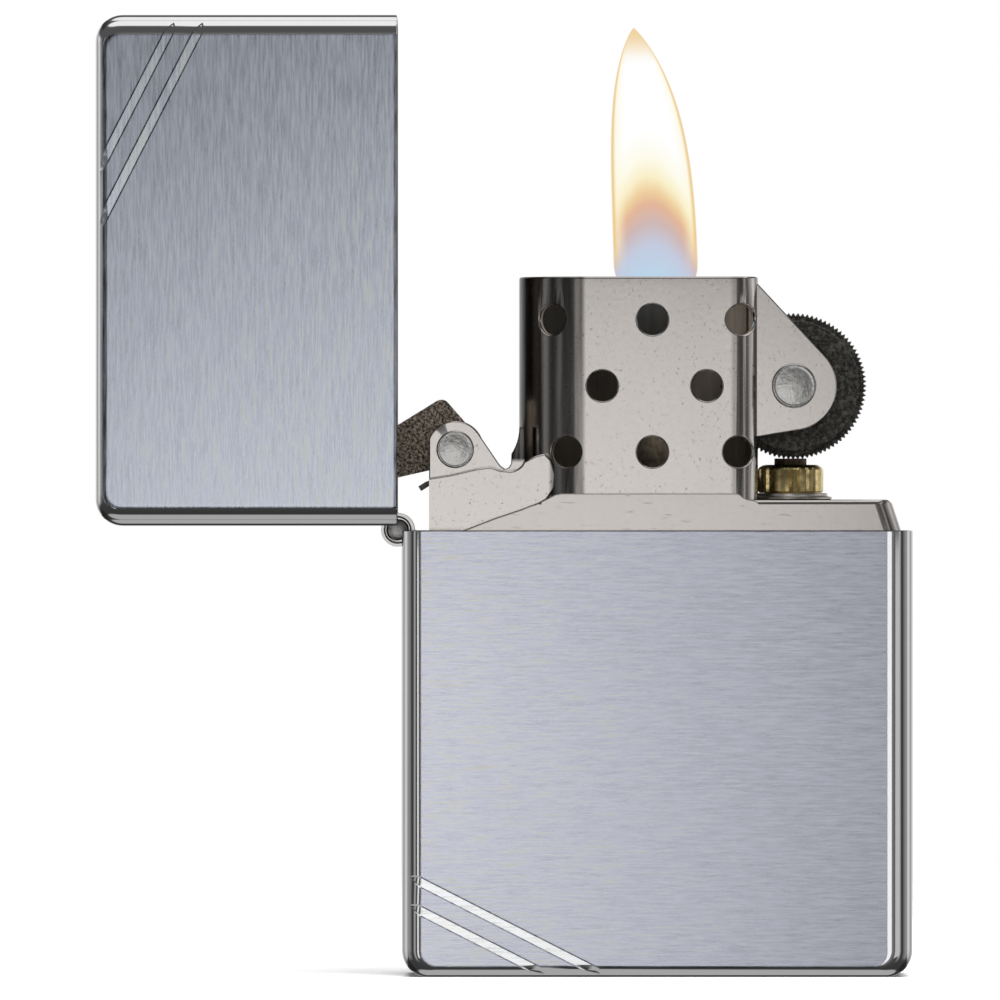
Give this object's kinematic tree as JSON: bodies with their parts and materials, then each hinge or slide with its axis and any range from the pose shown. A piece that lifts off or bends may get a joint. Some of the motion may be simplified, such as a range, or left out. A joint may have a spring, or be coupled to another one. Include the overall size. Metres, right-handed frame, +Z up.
{
  "type": "windproof petrol lighter",
  "caption": "Flip-top pocket lighter in chromed brass, shown open: hinged lid with twin slash marks, sliding insert with perforated windscreen, cam, striker wheel and flint stack.",
  "frame": {"origin": "middle of the case's flat foot", "axes": "+Z up out of the case, +X across the width from the hinge towards the striker wheel, +Y from the front face to the back face"},
  "size_m": [0.0607, 0.013, 0.0715],
  "materials": {
    "case_chrome": "chrome plate, brushed flats and polished edges",
    "hinge_steel": "plated steel",
    "pin_steel": "drawn wire",
    "insert_steel": "bright stainless sheet",
    "rivet_steel": "polished dome",
    "cam_steel": "dark oil-blackened steel",
    "spring_steel": "blued spring steel",
    "wheel_steel": "dark hardened steel",
    "tube_brass": "turned brass",
    "flange_steel": "bright pressed washer",
    "flint_alloy": "dull pressed alloy",
    "pusher_brass": "turned brass",
    "coil_steel": "drawn wire",
    "screw_brass": "turned brass",
    "wick_cotton": "braided cotton, charred at the top",
    "wire_copper": "fine copper wire",
    "packing_cotton": "loose cotton",
    "pad_felt": "pressed felt"
  },
  "bodies": {
    "case": {"case_body": "case_chrome", "hinge_leaf_case": "hinge_steel", "hinge_pin": "pin_steel"},
    "lid": {"case_lid": "case_chrome", "hinge_leaf_lid": "hinge_steel"},
    "insert": {"fuel_tank": "insert_steel", "chimney": "insert_steel", "cam_rivet": "rivet_steel", "cam_spring": "spring_steel", "cam_spring_rivet": "rivet_steel", "wheel_rivet": "rivet_steel", "flint_tube": "tube_brass", "tube_flange": "flange_steel", "flint_spring": "coil_steel", "wick": "wick_cotton", "wick_wire": "wire_copper", "cotton_packing": "packing_cotton", "felt_pad": "pad_felt"},
    "cam": {"cam_lever": "cam_steel"},
    "wheel": {"flint_wheel": "wheel_steel"},
    "flint_stack": {"flint": "flint_alloy", "flint_pusher": "pusher_brass"},
    "screw": {"flint_screw": "screw_brass"}
  },
  "joints": [
    {"name": "lid_hinge", "type": "hinge", "parent": "case", "child": "lid", "pos_m": [-0.0193, 0, 0.03325], "axis": [0, -1, 0], "range_deg": [-90, 15]},
    {"name": "insert_slide", "type": "slide", "parent": "case", "child": "insert", "axis": [0, 0, 1], "range_m": [0, 0.027]},
    {"name": "cam_pivot", "type": "hinge", "parent": "insert", "child": "cam", "pos_m": [-0.01503, 0, 0.03924], "axis": [0, -1, 0], "range_deg": [-90, 15]},
    {"name": "wheel_spin", "type": "hinge", "parent": "insert", "child": "wheel", "pos_m": [0.0102, 0, 0.04397], "axis": [0, 1, 0], "continuous": true},
    {"name": "flint_feed", "type": "slide", "parent": "insert", "child": "flint_stack", "axis": [0, 0, 1], "range_m": [-0.002, 0], "stiffness_N_per_m": 150, "springref_m": 0.012, "deforming": ["flint_spring"]},
    {"name": "screw_turn", "type": "hinge", "parent": "insert", "child": "screw", "pos_m": [0.01, 0, 0.002], "axis": [0, 0, 1], "continuous": true}
  ],
  "couplings": [
    {"joint": "cam_pivot", "follows": "lid_hinge", "ratio": 1}
  ]
}
